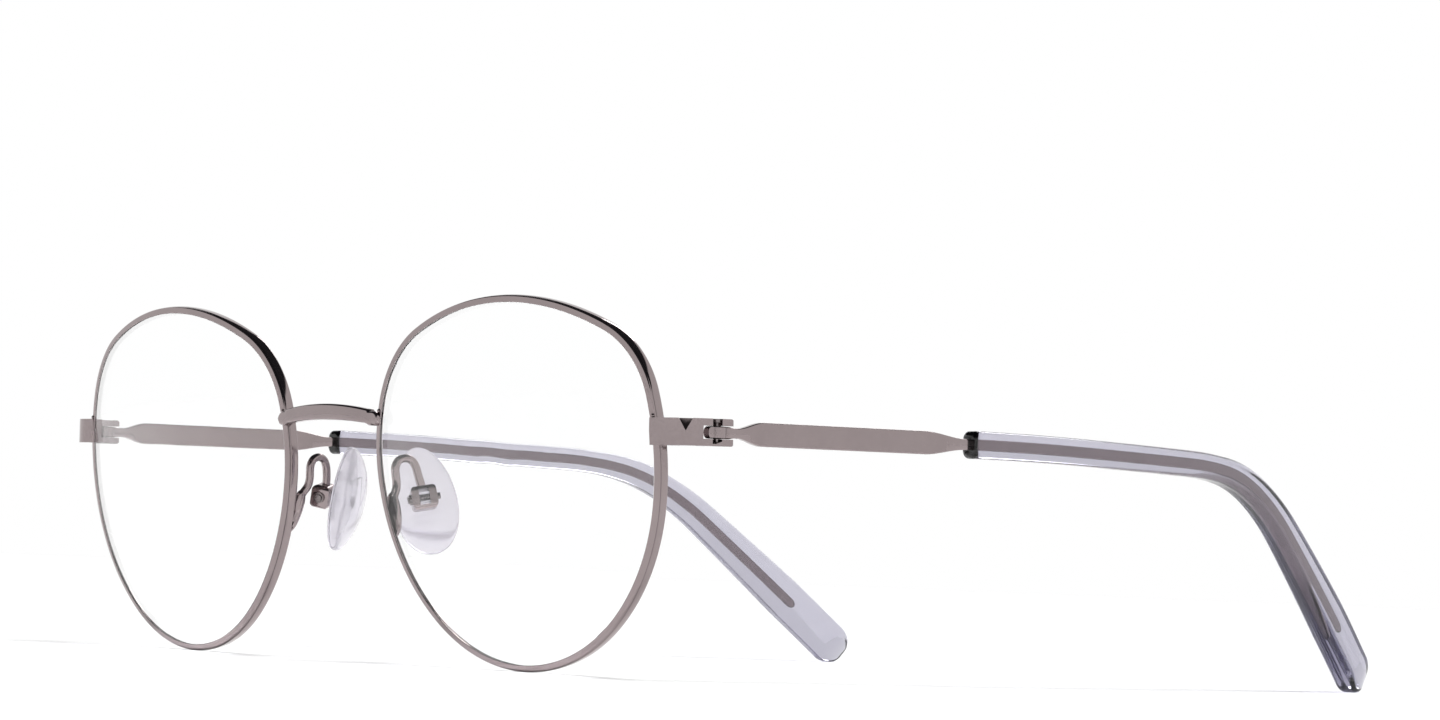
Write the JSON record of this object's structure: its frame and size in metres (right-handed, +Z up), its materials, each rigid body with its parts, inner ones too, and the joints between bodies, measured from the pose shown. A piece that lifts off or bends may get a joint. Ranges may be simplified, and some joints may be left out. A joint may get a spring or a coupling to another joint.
{
  "type": "eyeglasses",
  "caption": "Full-rim metal eyeglasses with oval rims, clear demo lenses, arched bridge, pivoting silicone nose pads and folding temples with clear smoke-grey tips.",
  "frame": {"origin": "middle of the open frame's footprint, on the table that the rims and the temple tips stand on", "axes": "+X to the wearer's left, +Y from the lenses back along the temples, +Z up"},
  "size_m": [0.1294, 0.1359, 0.0438],
  "materials": {
    "gunmetal": "polished warm grey gunmetal plating",
    "dark_steel": "bare screw ends",
    "clear_lens": "clear polished demo lens",
    "smoke_tip": "clear smoke grey with a blue cast",
    "pad_core": "clear hard plastic",
    "silicone": "clear silicone, satin"
  },
  "bodies": {
    "front": {"bridge": "gunmetal", "left_rim": "gunmetal", "left_lens": "clear_lens", "left_upper_block": "gunmetal", "left_end_piece": "gunmetal", "left_closing_screw": "dark_steel", "left_hinge_screw": "dark_steel", "left_pad_arm": "gunmetal", "left_pad_box": "gunmetal", "left_pad_screw": "dark_steel", "right_rim": "gunmetal", "right_lens": "clear_lens", "right_upper_block": "gunmetal", "right_end_piece": "gunmetal", "right_closing_screw": "dark_steel", "right_hinge_screw": "dark_steel", "right_pad_arm": "gunmetal", "right_pad_box": "gunmetal", "right_pad_screw": "dark_steel"},
    "left_temple": {"left_temple": "gunmetal", "left_temple_tip": "smoke_tip"},
    "right_temple": {"right_temple": "gunmetal", "right_temple_tip": "smoke_tip"},
    "left_nose_pad": {"left_nose_pad": "silicone", "left_pad_core": "pad_core"},
    "right_nose_pad": {"right_nose_pad": "silicone", "right_pad_core": "pad_core"}
  },
  "joints": [
    {"name": "left_temple_fold", "type": "hinge", "parent": "front", "child": "left_temple", "pos_m": [0.06144, -0.05766, 0.02817], "axis": [0, -0.0211, 0.9998], "range_deg": [0, 85]},
    {"name": "right_temple_fold", "type": "hinge", "parent": "front", "child": "right_temple", "pos_m": [-0.06144, -0.05766, 0.02817], "axis": [0, 0.0211, -0.9998], "range_deg": [0, 77]},
    {"name": "left_nose_pad_rock", "type": "hinge", "parent": "front", "child": "left_nose_pad", "pos_m": [0.01059, -0.05907, 0.02019], "axis": [0.4993, 0.8427, 0.2014], "range_deg": [-10, 10]},
    {"name": "right_nose_pad_rock", "type": "hinge", "parent": "front", "child": "right_nose_pad", "pos_m": [-0.01059, -0.05907, 0.02019], "axis": [0.4993, -0.8427, -0.2014], "range_deg": [-10, 10]}
  ]
}
